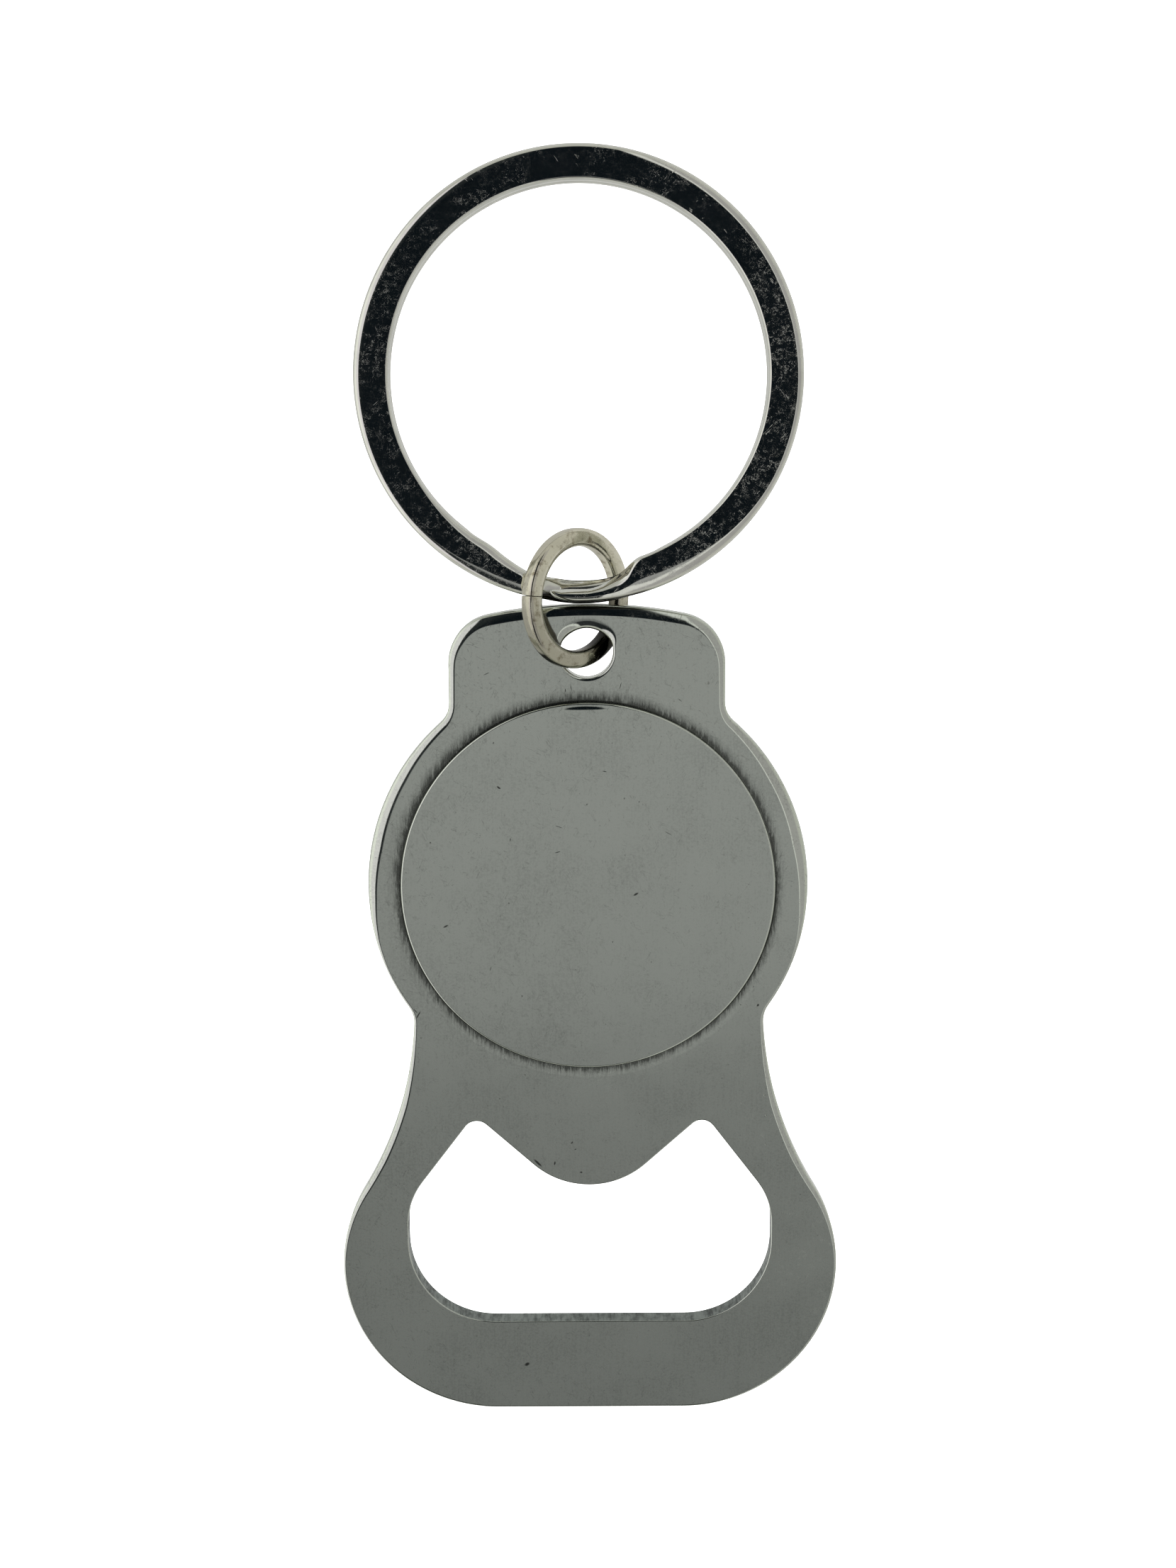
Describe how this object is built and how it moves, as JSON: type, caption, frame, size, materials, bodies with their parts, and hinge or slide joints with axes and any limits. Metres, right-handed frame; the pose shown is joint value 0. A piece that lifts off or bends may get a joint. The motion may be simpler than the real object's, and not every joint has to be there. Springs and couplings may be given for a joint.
{
  "type": "keychain bottle opener",
  "caption": "Flat polished metal bottle opener with a round raised emblem disc, a cap opening with a tongue, and a hanging tab linked by a jump ring to a split key ring.",
  "frame": {"origin": "on the plate's flat back, behind the centre of the emblem disc", "axes": "+X across the plate's width, +Y towards the key ring, +Z out of the emblem face"},
  "size_m": [0.0358, 0.0897, 0.0071],
  "materials": {
    "polished_plate": "polished plate with a faint haze, pits and fine scratches; rough punched walls inside the cap opening",
    "bonding_film": "thin translucent bonding film, hidden under the disc",
    "polished_disc": "polished plain face with crisp rim",
    "warm_nickel_wire": "slightly warm nickel plating with flats and small dents from pliers",
    "bright_ring_wire": "bright nickel plating with smudges and hairline scratches"
  },
  "bodies": {
    "opener": {"opener_body": "polished_plate", "adhesive_pad": "bonding_film", "emblem_disc": "polished_disc"},
    "jump_ring": {"jump_ring": "warm_nickel_wire"},
    "split_ring": {"split_ring": "bright_ring_wire"}
  },
  "joints": [
    {"name": "jump_ring_twist", "type": "hinge", "parent": "opener", "child": "jump_ring", "pos_m": [0, 0.0191, 0.00075], "axis": [0, 1, 0], "range_deg": [0, 90]},
    {"name": "key_ring_swing", "type": "hinge", "parent": "jump_ring", "child": "split_ring", "pos_m": [-0.00045, 0.02255, 0.00135], "axis": [1, 0, 0], "range_deg": [-36, 30]}
  ]
}
